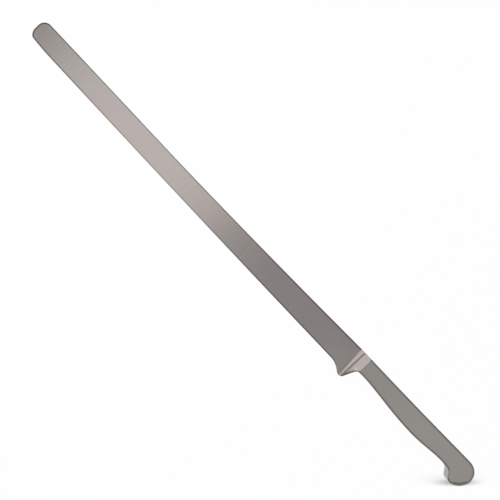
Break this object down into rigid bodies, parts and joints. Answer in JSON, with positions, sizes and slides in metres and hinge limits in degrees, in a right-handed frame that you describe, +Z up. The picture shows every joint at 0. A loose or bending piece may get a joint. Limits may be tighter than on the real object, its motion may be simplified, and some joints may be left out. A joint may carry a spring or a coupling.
{
  "type": "salmon knife",
  "caption": "Long narrow slicing knife, all in steel: thin blade with a round end and plain edge, polished bolster with a beard, and a hollow satin handle with a hooked butt.",
  "frame": {"origin": "middle of the knife's box in length and width, on the level of the right flank that it lies on", "axes": "+X from the tip to the butt, +Y from the cutting edge to the spine, +Z up, out of the left flank"},
  "size_m": [0.4378, 0.0256, 0.0125],
  "materials": {
    "blade_steel": "satin, ground across the blade",
    "bolster_steel": "polished",
    "handle_steel": "satin, matt",
    "weld_steel": "ground flush with the handle",
    "resin": "set resin, hidden in the handle"
  },
  "bodies": {
    "root": {"blade": "blade_steel", "bolster": "bolster_steel", "handle_shell_left": "handle_steel", "handle_shell_right": "handle_steel", "handle_seam_weld": "weld_steel", "bolster_weld": "weld_steel", "tang_packing": "resin"}
  },
  "joints": []
}
